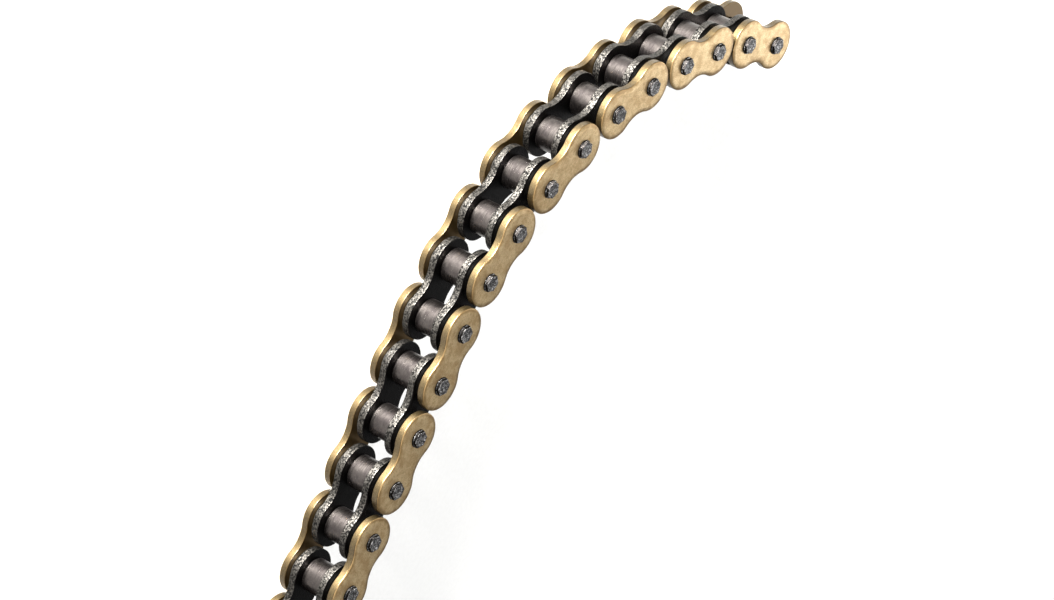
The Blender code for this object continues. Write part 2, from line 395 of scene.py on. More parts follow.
def staked_pin_steel(colours):
    """Hardened pin steel with the crushed, scaly skin that the riveting punch leaves.

    The sides are painted nearly black as shade; the punched end is grey with bright creases.
    """
    material, tree, shader = new_material("staked_pin_steel")
    position = add_node(
        tree, "ShaderNodeAttribute", attribute_name="piece_position",
    ).outputs["Vector"]
    creases = add_node(tree, "ShaderNodeTexNoise", {
        "Vector": position, "Scale": per_metre(0.55), "Detail": 4.0, "Roughness": 0.6,
        "Distortion": 1.2,
    }).outputs["Fac"]
    crease_share = add_node(tree, "ShaderNodeMapRange", {
        "Value": creases, "From Min": 0.50, "From Max": 0.66, "To Min": 0.0, "To Max": 1.0,
    }, interpolation_type="SMOOTHSTEP").outputs["Result"]
    punched = add_node(tree, "ShaderNodeMix", {
        "Factor": crease_share, COLOUR_A: opaque(colours.pin),
        COLOUR_B: opaque(colours.pin_crease),
    }, data_type="RGBA").outputs[COLOUR_RESULT]
    # Painted shade: the sides of the pin are painted nearly black.
    base = add_node(tree, "ShaderNodeMix", {
        "Factor": rim_share(tree), COLOUR_A: punched, COLOUR_B: opaque(colours.pin_side_shade),
    }, data_type="RGBA").outputs[COLOUR_RESULT]
    tree.links.new(base, shader.inputs["Base Color"])
    roughness = add_node(tree, "ShaderNodeMapRange", {
        "Value": creases, "From Min": 0.35, "From Max": 0.65, "To Min": 0.28, "To Max": 0.46,
    }, interpolation_type="SMOOTHSTEP").outputs["Result"]
    tree.links.new(roughness, shader.inputs["Roughness"])
    shader.inputs["Metallic"].default_value = 1.0
    normal = add_node(tree, "ShaderNodeBump", {
        "Height": creases, "Strength": 0.70, "Distance": 0.12 * MM,
    }).outputs["Normal"]
    tree.links.new(normal, shader.inputs["Normal"])
    return material


def seal_rubber(colours):
    """Black nitrile rubber seal rings with a film of grease.

    Dark and smooth with a dull sheen, greyer where the grease has picked up dust.
    """
    material, tree, shader = new_material("seal_rubber")
    position = add_node(
        tree, "ShaderNodeAttribute", attribute_name="piece_position",
    ).outputs["Vector"]
    dust = add_node(tree, "ShaderNodeTexNoise", {
        "Vector": position, "Scale": per_metre(0.9), "Detail": 3.0,
    }).outputs["Fac"]
    share = add_node(tree, "ShaderNodeMapRange", {
        "Value": dust, "From Min": 0.45, "From Max": 0.75, "To Min": 0.0, "To Max": 0.5,
    }, interpolation_type="SMOOTHSTEP").outputs["Result"]
    base = add_node(tree, "ShaderNodeMix", {
        "Factor": share, COLOUR_A: opaque(colours.rubber), COLOUR_B: opaque(colours.rubber_dust),
    }, data_type="RGBA").outputs[COLOUR_RESULT]
    tree.links.new(base, shader.inputs["Base Color"])
    roughness = add_node(tree, "ShaderNodeMapRange", {
        "Value": dust, "From Min": 0.30, "From Max": 0.70, "To Min": 0.35, "To Max": 0.55,
    }, interpolation_type="SMOOTHSTEP").outputs["Result"]
    tree.links.new(roughness, shader.inputs["Roughness"])
    shader.inputs["IOR"].default_value = 1.52
    normal = add_node(tree, "ShaderNodeBump", {
        "Height": dust, "Strength": 0.15, "Distance": 0.05 * MM,
    }).outputs["Normal"]
    tree.links.new(normal, shader.inputs["Normal"])
    return material


def pale_floor(colours):
    """Matt white studio board with a barely visible tooth."""
    material, tree, shader = new_material("pale_floor")
    position = add_node(tree, "ShaderNodeTexCoord").outputs["Object"]
    tooth = add_node(tree, "ShaderNodeTexNoise", {
        "Vector": position, "Scale": per_metre(1.5), "Detail": 2.0,
    }).outputs["Fac"]
    share = add_node(tree, "ShaderNodeMapRange", {
        "Value": tooth, "From Min": 0.3, "From Max": 0.7, "To Min": 0.0, "To Max": 1.0,
    }, interpolation_type="SMOOTHSTEP").outputs["Result"]
    base = add_node(tree, "ShaderNodeMix", {
        "Factor": share, COLOUR_A: opaque(colours.floor), COLOUR_B: opaque(colours.floor_shade),
    }, data_type="RGBA").outputs[COLOUR_RESULT]
    tree.links.new(base, shader.inputs["Base Color"])
    shader.inputs["Roughness"].default_value = 0.9
    shader.inputs["Specular IOR Level"].default_value = 0.1
    return material


MATERIAL_MAKERS = {
    "gold_plated_steel": gold_plated_steel,
    "black_oxide_steel": black_oxide_steel,
    "ground_roller_steel": ground_roller_steel,
    "staked_pin_steel": staked_pin_steel,
    "seal_rubber": seal_rubber,
    "pale_floor": pale_floor,
}


def material_called(name, scene):
    """The material of that name, made the first time it is asked for."""
    return bpy.data.materials.get(name) or MATERIAL_MAKERS[name](scene.chain_finishes)


# ---------------------------------------------------------------- modelling helpers

def deselect_everything():
    """Leaves object mode with nothing selected."""
    if bpy.context.object and bpy.context.object.mode != "OBJECT":
        bpy.ops.object.mode_set(mode="OBJECT")
    bpy.ops.object.select_all(action="DESELECT")


def make_active(piece):
    """Selects one object alone and makes it active."""
    deselect_everything()
    piece.select_set(True)
    bpy.context.view_layer.objects.active = piece


def edit(mode):
    """Goes to edit mode with the wanted kind of element selectable."""
    bpy.ops.object.mode_set(mode="EDIT")
    bpy.ops.mesh.select_mode(type=mode)


def select_faces(piece, wanted):
    """Selects the faces whose centre and normal pass the test."""
    mesh = bmesh.from_edit_mesh(piece.data)
    for face in mesh.faces:
        face.select_set(wanted(face.calc_center_median(), face.normal))
    bmesh.update_edit_mesh(piece.data)


def select_edges(piece, wanted):
    """Selects the edges whose two ends pass the test."""
    bpy.ops.mesh.select_all(action="DESELECT")
    bpy.ops.mesh.select_mode(type="EDGE")
    mesh = bmesh.from_edit_mesh(piece.data)
    for edge in mesh.edges:
        edge.select_set(all(wanted(corner.co) for corner in edge.verts))
    bmesh.update_edit_mesh(piece.data)


def apply_modifier(piece, kind, **settings):
    """Adds a modifier with its settings and applies it."""
    make_active(piece)
    modifier = piece.modifiers.new(kind.lower(), kind)
    for name, value in settings.items():
        setattr(modifier, name, value)
    bpy.ops.object.modifier_apply(modifier=modifier.name)


def cut_with(piece, cutter, operation="DIFFERENCE"):
    """Cuts a piece with another, or joins them, and removes the other."""
    apply_modifier(piece, "BOOLEAN", operation=operation, object=cutter, solver="EXACT")
    bpy.data.objects.remove(cutter, do_unlink=True)


def smooth_shading(piece, degrees):
    """Smooth shading with sharp edges, and flat faces kept flat."""
    make_active(piece)
    bpy.ops.object.shade_smooth_by_angle(angle=math.radians(degrees))
    apply_modifier(piece, "WEIGHTED_NORMAL", keep_sharp=True, weight=80)


def mark_rim(piece, plate):
    """Stores how near each point is to a plate's rim, and to its inner face, as masks for painted
    shade.

    rim_nearness is 1 on the rim and 0 inside the band that tumbling has rounded, and the
    inner-face value is 1 on the inner face and 0 just above it.
    """
    hollow_radius, hollow_centre, meet = plate_outline(plate)
    band = plate.rim_round + plate.crown_width
    # Painted shade mask for the inner face: 1 on it, fading to 0 just above it.
    inner_face_shade = piece.data.attributes.new("sheltered_face", "FLOAT", "POINT")
    for corner, value in zip(piece.data.vertices, inner_face_shade.data):
        value.value = max(0.0, 1.0 - corner.co.z / INNER_SHADE_REACH)
    nearness = piece.data.attributes.new("rim_nearness", "FLOAT", "POINT")
    for corner, value in zip(piece.data.vertices, nearness.data):
        x = abs(corner.co.x - PITCH / 2)
        y = abs(corner.co.y)
        if math.atan2(y, PITCH / 2 - x) > meet or x > PITCH / 2:
            inward = PLATE_END_RADIUS - math.hypot(x - PITCH / 2, y)
        else:
            inward = math.hypot(x, y - hollow_centre) - hollow_radius
        value.value = max(0.0, 1.0 - inward / band)


def plate_outline(plate):
    """The waist hollows' radius and centre, and the angle at which they meet the ends."""
    half_pitch = PITCH / 2
    spare = half_pitch**2 + plate.waist_half**2 - PLATE_END_RADIUS**2
    hollow_radius = spare / (2 * (PLATE_END_RADIUS - plate.waist_half))
    hollow_centre = plate.waist_half + hollow_radius
    return hollow_radius, hollow_centre, math.atan2(hollow_centre, half_pitch)


def round_cutter(x, radius, depth):
    """A cylinder around a pin of the link, to cut a hole with."""
    deselect_everything()
    bpy.ops.mesh.primitive_cylinder_add(
        vertices=PIN_SIDES, radius=radius, depth=depth, location=(x, 0, 0)
    )
    cutter = bpy.context.object
    bpy.ops.object.transform_apply(location=True, rotation=False, scale=False)
    return cutter


def lay_copy(model, name, matrix, material, seed):
    """Copies a model with its own mesh, puts it in place and gives it its material.

    The copy keeps its own coordinates, moved by a random step, as the piece_position
    attribute that the materials read.
    """
    piece = bpy.data.objects.new(name, model.data.copy())
    piece.data.name = name
    bpy.context.scene.collection.objects.link(piece)
    dice = random.Random(seed)
    step = Vector((dice.uniform(-1, 1), dice.uniform(-1, 1), dice.uniform(-1, 1)))
    attribute = piece.data.attributes.new("piece_position", "FLOAT_VECTOR", "POINT")
    for corner, value in zip(piece.data.vertices, attribute.data):
        value.vector = corner.co + step
    piece.data.transform(matrix)
    piece.data.materials.clear()
    piece.data.materials.append(material)
    return piece


# ---------------------------------------------------------------- models

def model_plate(name, plate, thickness, hole_radius):
    """A figure-eight link plate with its inner face on z = 0 and its outer face up.

    Its outline is spun from one corner round both ends and both waist hollows.
    """
    half_pitch = PITCH / 2
    hollow_centre, meet = plate_outline(plate)[1:]
    start = (PLATE_END_RADIUS * math.cos(meet), PLATE_END_RADIUS * math.sin(meet), 0)

    deselect_everything()
    bpy.ops.mesh.primitive_plane_add(size=0.1 * MM, location=(0, 0, 0))
    piece = bpy.context.object
    piece.name = name
    edit("VERT")
    bpy.ops.mesh.merge(type="CENTER")
    bpy.ops.transform.translate(value=start)
    end_turn = 2 * math.pi - 2 * meet
    hollow_turn = 2 * meet - math.pi
    for centre, turn, steps in (
        ((0, 0, 0), end_turn, plate.end_steps),
        ((half_pitch, -hollow_centre, 0), hollow_turn, plate.waist_steps),
        ((PITCH, 0, 0), end_turn, plate.end_steps),
        ((half_pitch, hollow_centre, 0), hollow_turn, plate.waist_steps),
    ):
        bpy.ops.mesh.spin(steps=steps, angle=turn, center=centre, axis=(0, 0, -1))
    bpy.ops.mesh.select_all(action="SELECT")
    bpy.ops.mesh.remove_doubles(threshold=TOUCHING)
    bpy.ops.mesh.edge_face_add()
    shoulder = thickness - plate.crown
    bpy.ops.mesh.extrude_region_move(TRANSFORM_OT_translate={"value": (0, 0, shoulder)})
    bpy.ops.mesh.select_all(action="SELECT")
    bpy.ops.mesh.normals_make_consistent(inside=False)

    select_edges(piece, lambda place: place.z > shoulder - TOUCHING)
    bpy.ops.mesh.bevel(offset=plate.rim_round, segments=5, affect="EDGES")
    select_edges(piece, lambda place: place.z < TOUCHING)
    bpy.ops.mesh.bevel(offset=plate.rim_round / 2, segments=3, affect="EDGES")
    bpy.ops.mesh.select_mode(type="FACE")
    select_faces(piece, lambda centre, normal: normal.z > 0.99 and centre.z > shoulder - TOUCHING)
    for width_share, rise_share in CROWN_STEPS:
        bpy.ops.mesh.inset(
            thickness=plate.crown_width * width_share,
            depth=plate.crown * rise_share,
            use_even_offset=True,
        )
    bpy.ops.object.mode_set(mode="OBJECT")

    for x in (0, PITCH):
        cut_with(piece, round_cutter(x, hole_radius, 4 * thickness))
    make_active(piece)
    edit("EDGE")
    for x in (0, PITCH):
        for level in (0.0, thickness):
            select_edges(piece, lambda place: abs(place.z - level) < TOUCHING
                         and abs(math.hypot(place.x - x, place.y) - hole_radius) < 2 * TOUCHING)
            bpy.ops.mesh.bevel(offset=plate.hole_chamfer, segments=2, affect="EDGES")
    bpy.ops.object.mode_set(mode="OBJECT")
    smooth_shading(piece, 32)
    mark_rim(piece, plate)
    return piece


def model_tube(name, outer_radius, wall, half_length, rounding):
    """An upright tube with rounded ends, centred on z = 0."""
    deselect_everything()
    bpy.ops.mesh.primitive_cylinder_add(
        vertices=TUBE_SIDES, radius=outer_radius, depth=2 * half_length, end_fill_type="NOTHING"
    )
    piece = bpy.context.object
    piece.name = name
    apply_modifier(piece, "SOLIDIFY", thickness=wall, offset=-1.0, use_even_offset=True,
                   use_rim=True)
    apply_modifier(piece, "BEVEL", width=rounding, segments=4, limit_method="ANGLE",
                   angle_limit=math.radians(40))
    smooth_shading(piece, 35)
    return piece


def model_pin(name, pin):
    """A hinge pin with a staked head at each end, centred on z = 0.

    Each head is a short round stub that the punch has squared off into six forged flats
    with a crushed top.
    """
    head_height = PIN_HALF_LENGTH - OUTER_PLATE_OUTSIDE
    stub = head_height * pin.round_share
    body_half = OUTER_PLATE_OUTSIDE + stub
    deselect_everything()
    bpy.ops.mesh.primitive_cylinder_add(
        vertices=PIN_SIDES, radius=PIN_RADIUS, depth=2 * body_half
    )
    piece = bpy.context.object
    piece.name = name
    edit("EDGE")
    select_edges(piece, lambda place: abs(abs(place.z) - body_half) < TOUCHING)
    bpy.ops.mesh.bevel(offset=pin.edge_round, segments=3, affect="EDGES")
    bpy.ops.object.mode_set(mode="OBJECT")

    for side in (1, -1):
        head = model_pin_head(pin, body_half)
        if side < 0:
            head.data.transform(Matrix.Rotation(math.pi, 4, "X"))
        cut_with(piece, head, "UNION")
    smooth_shading(piece, 40)
    return piece


def model_pin_head(pin, body_half):
    """The six-sided top of a pin, sunk a little into the round stub below it."""
    bottom = body_half - HEAD_SINK
    height = PIN_HALF_LENGTH - bottom
    deselect_everything()
    bpy.ops.mesh.primitive_cylinder_add(
        vertices=PIN_SIDES, radius=PIN_RADIUS - HEAD_SLIMMER, depth=height,
        location=(0, 0, bottom + height / 2),
    )
    head = bpy.context.object
    bpy.ops.object.transform_apply(location=True, rotation=False, scale=False)
    edit("FACE")
    for side in range(HEAD_FLATS):
        angle = 2 * math.pi * (side + 0.5) / HEAD_FLATS
        outward = Vector((math.cos(angle), math.sin(angle), 0))
        place = outward * pin.flat_reach + Vector((0, 0, PIN_HALF_LENGTH))
        normal = outward * math.cos(pin.flat_lean) + Vector((0, 0, math.sin(pin.flat_lean)))
        bpy.ops.mesh.select_all(action="SELECT")
        bpy.ops.mesh.bisect(plane_co=place, plane_no=normal, use_fill=True, clear_outer=True)
    top = PIN_HALF_LENGTH - TOUCHING
    select_edges(head, lambda place: place.z > top)
    bpy.ops.mesh.bevel(offset=pin.edge_round, segments=3, affect="EDGES")
    bpy.ops.mesh.select_mode(type="FACE")
    select_faces(head, lambda centre, normal: normal.z > 0.999 and centre.z > top)
    bpy.ops.mesh.inset(thickness=pin.edge_round * 1.5, depth=0)
    bpy.ops.mesh.poke()
    bpy.ops.mesh.subdivide(number_cuts=5)
    crush_top(head, pin)
    bpy.ops.object.mode_set(mode="OBJECT")
    return head


def crush_top(head, pin):
    """Presses the punch's crossed creases into the top of a pin head."""
    dice = random.Random(41)
    waves = []
    for _ in range(CRUSH_WAVES):
        angle = dice.uniform(0, math.pi)
        way = Vector((math.cos(angle), math.sin(angle)))
        pace = dice.uniform(0.8, 2.4) / MM
        phase = dice.uniform(0, 2 * math.pi)
        waves.append((way, pace, phase))
    inside = pin.flat_reach - CRUSH_MARGIN
    mesh = bmesh.from_edit_mesh(head.data)
    for corner in mesh.verts:
        distance = math.hypot(corner.co.x, corner.co.y)
        if corner.co.z > PIN_HALF_LENGTH - TOUCHING / 10 and distance < inside:
            flat = corner.co.xy
            total = sum(math.sin(flat.dot(way) * pace + phase) for way, pace, phase in waves)
            wave = total / CRUSH_WAVES
            fade = min(1.0, (inside - distance) / CRUSH_FADE)
            corner.co.z -= pin.crush_depth * fade * (0.5 + 0.5 * wave)
    bmesh.update_edit_mesh(head.data)


def model_seal_ring(name, seal):
    """A four-lobed seal ring in the gap between two plates, centred on z = 0."""
    deselect_everything()
    bpy.ops.mesh.primitive_circle_add(
        vertices=32, radius=seal.thickness / 2, location=(seal.middle_radius, 0, 0),
        rotation=(math.pi / 2, 0, 0),
    )
    piece = bpy.context.object
    piece.name = name
    bpy.ops.object.transform_apply(location=True, rotation=True, scale=False)
    edit("VERT")
    mesh = bmesh.from_edit_mesh(piece.data)
    for corner in mesh.verts:
        across = Vector((corner.co.x - seal.middle_radius, 0, corner.co.z))
        angle = math.atan2(across.z, across.x)
        lobe = 1 - seal.lobe_depth * (0.5 + 0.5 * math.cos(4 * angle))
        square = 1 / max(abs(math.cos(angle)), abs(math.sin(angle)))
        corner.co = Vector((seal.middle_radius, 0, 0)) + across * lobe * min(square, 1.12)
    bmesh.update_edit_mesh(piece.data)
    bpy.ops.mesh.select_all(action="SELECT")
    bpy.ops.mesh.spin(steps=72, angle=2 * math.pi, center=(0, 0, 0), axis=(0, 0, 1))
    bpy.ops.mesh.select_all(action="SELECT")
    bpy.ops.mesh.remove_doubles(threshold=TOUCHING / 2)
    bpy.ops.mesh.normals_make_consistent(inside=False)
    bpy.ops.object.mode_set(mode="OBJECT")
    make_active(piece)
    bpy.ops.object.shade_smooth()
    return piece


# ---------------------------------------------------------------- settings

class PlateSettings(bpy.types.PropertyGroup):
    """Shape of the link plates."""

    waist_half: FloatProperty(
        name="Waist half width", description="Half the width of a plate at its waist",
        default=5.5 * MM, subtype="DISTANCE", unit="LENGTH", precision=5)
    inner_thickness: FloatProperty(
        name="Inner plate thickness", description="Thickness of the inner plates",
        default=2.4 * MM, subtype="DISTANCE", unit="LENGTH", precision=5)
    rim_round: FloatProperty(
        name="Rim rounding", description="Radius of the tumbled edge round the outer face",
        default=0.32 * MM, subtype="DISTANCE", unit="LENGTH", precision=5)
    crown: FloatProperty(
        name="Crown", description="How far the face falls away towards its rim",
        default=0.09 * MM, subtype="DISTANCE", unit="LENGTH", precision=5)
    crown_width: FloatProperty(
        name="Crown width", description="Width of the band in which the face falls away",
        default=1.5 * MM, subtype="DISTANCE", unit="LENGTH", precision=5)
    hole_chamfer: FloatProperty(
        name="Hole chamfer", description="Chamfer at the mouth of each hole",
        default=0.12 * MM, subtype="DISTANCE", unit="LENGTH", precision=5)
    pin_hole_slack: FloatProperty(
        name="Pin hole slack", description="Gap round a pin in its outer plate",
        default=0.03 * MM, subtype="DISTANCE", unit="LENGTH", precision=5)
    end_steps: IntProperty(
        name="End steps", description="Segments round each end of a plate", default=64, min=8)
    waist_steps: IntProperty(
        name="Waist steps", description="Segments along each waist hollow", default=14, min=3)


class PinSettings(bpy.types.PropertyGroup):
    """Shape of the staked pin heads."""

    round_share: FloatProperty(
        name="Round share", description="Share of the head's height that stays round",
        default=0.35, min=0.0, max=1.0, subtype="FACTOR")
    edge_round: FloatProperty(
        name="Edge rounding", description="Rounding of the head's edges",
        default=0.08 * MM, subtype="DISTANCE", unit="LENGTH", precision=5)
    flat_reach: FloatProperty(
        name="Flat reach", description="Distance from the pin's axis to each flat's top edge",
        default=2.20 * MM, subtype="DISTANCE", unit="LENGTH", precision=5)
    flat_lean: FloatProperty(
        name="Flat lean", description="How far the forged flats lean in",
        default=math.radians(14.0), min=0.0, max=math.radians(45.0), subtype="ANGLE",
        unit="ROTATION")
    crush_depth: FloatProperty(
        name="Crush depth", description="Depth of the creases in the top of the head",
        default=0.14 * MM, subtype="DISTANCE", unit="LENGTH", precision=5)


class TubeSettings(bpy.types.PropertyGroup):
    """Shape of the rollers and bushings."""

    roller_wall: FloatProperty(
        name="Roller wall", description="Wall thickness of a roller",
        default=1.30 * MM, subtype="DISTANCE", unit="LENGTH", precision=5)
    roller_rounding: FloatProperty(
        name="Roller rounding", description="Rounding at the ends of a roller",
        default=0.30 * MM, subtype="DISTANCE", unit="LENGTH", precision=5)
    bushing_radius: FloatProperty(
        name="Bushing radius", description="Outer radius of a bushing",
        default=3.60 * MM, subtype="DISTANCE", unit="LENGTH", precision=5)
    bushing_wall: FloatProperty(
        name="Bushing wall", description="Wall thickness of a bushing",
        default=0.80 * MM, subtype="DISTANCE", unit="LENGTH", precision=5)
    bushing_rounding: FloatProperty(
        name="Bushing rounding", description="Rounding at the ends of a bushing",
        default=0.10 * MM, subtype="DISTANCE", unit="LENGTH", precision=5)


class SealSettings(bpy.types.PropertyGroup):
    """Shape of the seal rings."""

    middle_radius: FloatProperty(
        name="Middle radius", description="Radius of the ring's own centre line",
        default=5.0 * MM, subtype="DISTANCE", unit="LENGTH", precision=5)
    thickness: FloatProperty(
        name="Thickness", description="Thickness of the ring's cord",
        default=1.30 * MM, subtype="DISTANCE", unit="LENGTH", precision=5)
    lobe_depth: FloatProperty(
        name="Lobe depth", description="How deep the hollows between the four lobes are",
        default=0.20, min=0.0, max=0.5, subtype="FACTOR")


def colour_property(name, description, hex_colour):
    """A colour property whose default is an sRGB hex colour."""
    return FloatVectorProperty(name=name, description=description, subtype="COLOR", size=3,
                               min=0.0, max=1.0, default=linear(hex_colour)[:3])


class FinishSettings(bpy.types.PropertyGroup):
    """Colours of the finishes, and of the shade painted on the plate rims, plate inner faces and
    pin sides.
    """

    gold: colour_property("Gold", "Gold plating", "#E2C899")
    gold_shade: colour_property("Gold shade", "Clouds in the plating", "#BF9F6F")
    # Used for real specks, streaks and wear, and for the painted shade of the band by the rim.
    gold_stain_and_shade: colour_property("Gold stain and shade", "Specks and wear in the plating, and painted shade by the rim", "#8A6E44")
    # Painted shade for the inner faces of the plates, where the plates shade each other.
    gold_inner_shade: colour_property("Gold inner shade", "Painted shade on the inner faces of the plates", "#5A451F")
    # Painted shade: both rim colours are dark to stand in for the shade on the rims.
    gold_rim_shade: colour_property("Gold rim", "Sheared rims of the outer plates", "#4C402A")
    gold_rim_worn: colour_property("Gold rim worn", "Dull grains in the sheared rims", "#2B200E")
    black_oxide: colour_property("Black oxide", "Faces of the inner plates", "#100F0F")
    peened_bright: colour_property("Peened bright", "Bare steel between dimples", "#3E3C3A")
    peened_dark: colour_property("Peened dark", "Oxide left in the dimples", "#0B0B0B")
    roller: colour_property("Roller", "Rollers", "#454140")
    roller_shade: colour_property("Roller shade", "Oil clouds on the rollers", "#3A3636")
    pin: colour_property("Pin", "Punched ends of the pins", "#454444")
    pin_crease: colour_property("Pin crease", "Bright creases in the pin ends", "#D2D1D1")
    # Painted shade for the sides of the pins.
    pin_side_shade: colour_property("Pin side", "Sides of the pins", "#0D0C0C")
    rubber: colour_property("Rubber", "Seal rings", "#161514")
    rubber_dust: colour_property("Rubber dust", "Dust in the grease", "#2E2B28")
    floor: colour_property("Floor", "Studio floor", "#FAFAF9")
    floor_shade: colour_property("Floor shade", "Tooth of the studio floor", "#F7F7F6")


class StageSettings(bpy.types.PropertyGroup):
    """The camera and the strengths of the lights."""

    camera_azimuth: FloatProperty(
        name="Camera azimuth", description="Angle round the chain, from its front",
        default=math.radians(-4.42), subtype="ANGLE", unit="ROTATION")
    camera_elevation: FloatProperty(
        name="Camera elevation", description="Angle above the floor",
        default=math.radians(30.73), subtype="ANGLE", unit="ROTATION")
    camera_roll: FloatProperty(
        name="Camera roll", description="Turn of the camera about its own line of sight",
        default=math.radians(115.92), subtype="ANGLE", unit="ROTATION")
    camera_distance: FloatProperty(
        name="Camera distance", description="Distance to the point that it looks at",
        default=0.9939, subtype="DISTANCE", unit="LENGTH")
    camera_aim: FloatVectorProperty(
        name="Camera aim", description="Point that it looks at, from the middle of the chain",
        default=(-0.01370, -0.00813, 0.0), subtype="XYZ", unit="LENGTH", precision=5)
    camera_lens: FloatProperty(
        name="Camera lens", description="Focal length on a 36 mm sensor",
        default=117.95, min=10.0, max=400.0, unit="CAMERA")
    world_strength: FloatProperty(
        name="Fill light", description="Strength of the even light from all round",
        default=0.20, min=0.0, max=5.0)
    overhead_power: FloatProperty(
        name="Overhead light", description="Power of the softbox over the chain",
        default=9.0, min=0.0, max=100.0, unit="POWER")
    back_power: FloatProperty(
        name="Back light", description="Power of the softbox that the plate faces mirror",
        default=0.84, min=0.0, max=100.0, unit="POWER")
    rear_power: FloatProperty(
        name="Rear light", description="Power of the wide, dim softbox behind the chain",
        default=0.15, min=0.0, max=100.0, unit="POWER")
    key_power: FloatProperty(
        name="Key light", description="Power of the low softbox that lights the rims",
        default=96.0, min=0.0, max=200.0, unit="POWER")


# ---------------------------------------------------------------- operators

class CHAIN_OT_outer_plates(bpy.types.Operator):
    """Model the gold outer plates and lay them on the outer links"""

    bl_idname = "chain.outer_plates"
    bl_label = "Outer Plates"

    def execute(self, context):
        plate = context.scene.chain_plates
        material = material_called("gold_plated_steel", context.scene)
        thickness = OUTER_PLATE_OUTSIDE - OUTER_PLATE_INSIDE
        hole_radius = PIN_RADIUS + plate.pin_hole_slack
        model = model_plate("outer_plate_model", plate, thickness, hole_radius)
        for number in range(1, OUTER_LINKS + 1):
            for side in ("top", "bottom"):
                place = link_matrix(2 * number - 1) @ side_matrix(side, OUTER_PLATE_INSIDE)
                piece = lay_copy(model, f"gold_plate_{side}_{number}", place, material,
                                 f"gold {side} {number}")
                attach(piece, f"outer_link_{number}")
                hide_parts(f"outer_plate_{side}_{number}")
        bpy.data.objects.remove(model, do_unlink=True)
        return {"FINISHED"}


class CHAIN_OT_inner_plates(bpy.types.Operator):
    """Model the black inner plates and lay them on the inner links"""

    bl_idname = "chain.inner_plates"
    bl_label = "Inner Plates"

    def execute(self, context):
        plate = context.scene.chain_plates
        material = material_called("black_oxide_steel", context.scene)
        inside = INNER_PLATE_OUTSIDE - plate.inner_thickness
        hole_radius = context.scene.chain_tubes.bushing_radius + TOUCHING
        model = model_plate("inner_plate_model", plate, plate.inner_thickness, hole_radius)
        for number in range(1, OUTER_LINKS):
            for side in ("top", "bottom"):
                place = link_matrix(2 * number) @ side_matrix(side, inside)
                piece = lay_copy(model, f"black_plate_{side}_{number}", place, material,
                                 f"black {side} {number}")
                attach(piece, f"inner_link_{number}")
                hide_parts(f"inner_link_frame_{number}")
        bpy.data.objects.remove(model, do_unlink=True)
        return {"FINISHED"}


class CHAIN_OT_bushings(bpy.types.Operator):
    """Model the bushings that the inner plates are pressed on"""

    bl_idname = "chain.bushings"
    bl_label = "Bushings"

    def execute(self, context):
        tube = context.scene.chain_tubes
        material = material_called("ground_roller_steel", context.scene)
        model = model_tube("bushing_model", tube.bushing_radius, tube.bushing_wall,
                           INNER_PLATE_OUTSIDE - 0.05 * MM, tube.bushing_rounding)
        for station in range(2, STATIONS):
            link = station // 2
            place = Matrix.Translation(PIN_PLACES[station])
            piece = lay_copy(model, f"bushing_{station:02d}", place, material,
                             f"bushing {station}")
            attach(piece, f"inner_link_{link}")
            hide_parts(f"inner_link_frame_{link}")
        bpy.data.objects.remove(model, do_unlink=True)
        return {"FINISHED"}


class CHAIN_OT_rollers(bpy.types.Operator):
    """Model the rollers that turn on the bushings"""

    bl_idname = "chain.rollers"
    bl_label = "Rollers"

    def execute(self, context):
        tube = context.scene.chain_tubes
        material = material_called("ground_roller_steel", context.scene)
        model = model_tube("roller_model", ROLLER_RADIUS, tube.roller_wall, ROLLER_HALF_LENGTH,
                           tube.roller_rounding)
        for station in range(2, STATIONS):
            place = Matrix.Translation(PIN_PLACES[station])
            piece = lay_copy(model, f"steel_roller_{station:02d}", place, material,
                             f"roller {station}")
            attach(piece, f"roller_{station:02d}")
            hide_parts(f"roller_{station:02d}")
        bpy.data.objects.remove(model, do_unlink=True)
        return {"FINISHED"}


class CHAIN_OT_pins(bpy.types.Operator):
    """Model the hinge pins with their staked heads"""

    bl_idname = "chain.pins"
    bl_label = "Pins"

    def execute(self, context):
        material = material_called("staked_pin_steel", context.scene)
        model = model_pin("pin_model", context.scene.chain_pins)
        for station in range(1, STATIONS + 1):
            link = (station + 1) // 2
            first = 2 * link - 1
            shift = Matrix.Translation((0 if station == first else PITCH, 0, 0))
            place = link_matrix(first) @ shift
            piece = lay_copy(model, f"staked_pin_{station:02d}", place, material,
                             f"pin {station}")
            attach(piece, f"outer_link_{link}")
            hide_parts(f"pin_{station:02d}")
        bpy.data.objects.remove(model, do_unlink=True)
        return {"FINISHED"}


class CHAIN_OT_seals(bpy.types.Operator):
    """Model the seal rings between the inner and outer plates"""

    bl_idname = "chain.seals"
    bl_label = "Seal Rings"

    def execute(self, context):
        material = material_called("seal_rubber", context.scene)
        model = model_seal_ring("seal_ring_model", context.scene.chain_seals)
        height = (INNER_PLATE_OUTSIDE + OUTER_PLATE_INSIDE) / 2
        for station in range(2, STATIONS):
            for side, way in (("top", 1), ("bottom", -1)):
                middle = PIN_PLACES[station] + Vector((0, 0, way * height))
                place = Matrix.Translation(middle)
                piece = lay_copy(model, f"seal_ring_{side}_{station:02d}", place, material,
                                 f"seal {side} {station}")
                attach(piece, f"inner_link_{station // 2}")
        bpy.data.objects.remove(model, do_unlink=True)
        return {"FINISHED"}


def side_matrix(side, inside):
    """Lifts a plate to the top side of the chain, or turns it over to the bottom side."""
    lift = Matrix.Translation((0, 0, inside))
    if side == "top":
        return lift
    return Matrix.Rotation(math.pi, 4, "X") @ lift


def around(centre, azimuth, elevation, distance):
    """A point at a distance from the centre; azimuth 0 is in front, at -Y."""
    level = math.cos(elevation)
    back = Vector((math.sin(azimuth) * level, -math.cos(azimuth) * level, math.sin(elevation)))
    return centre + back * distance


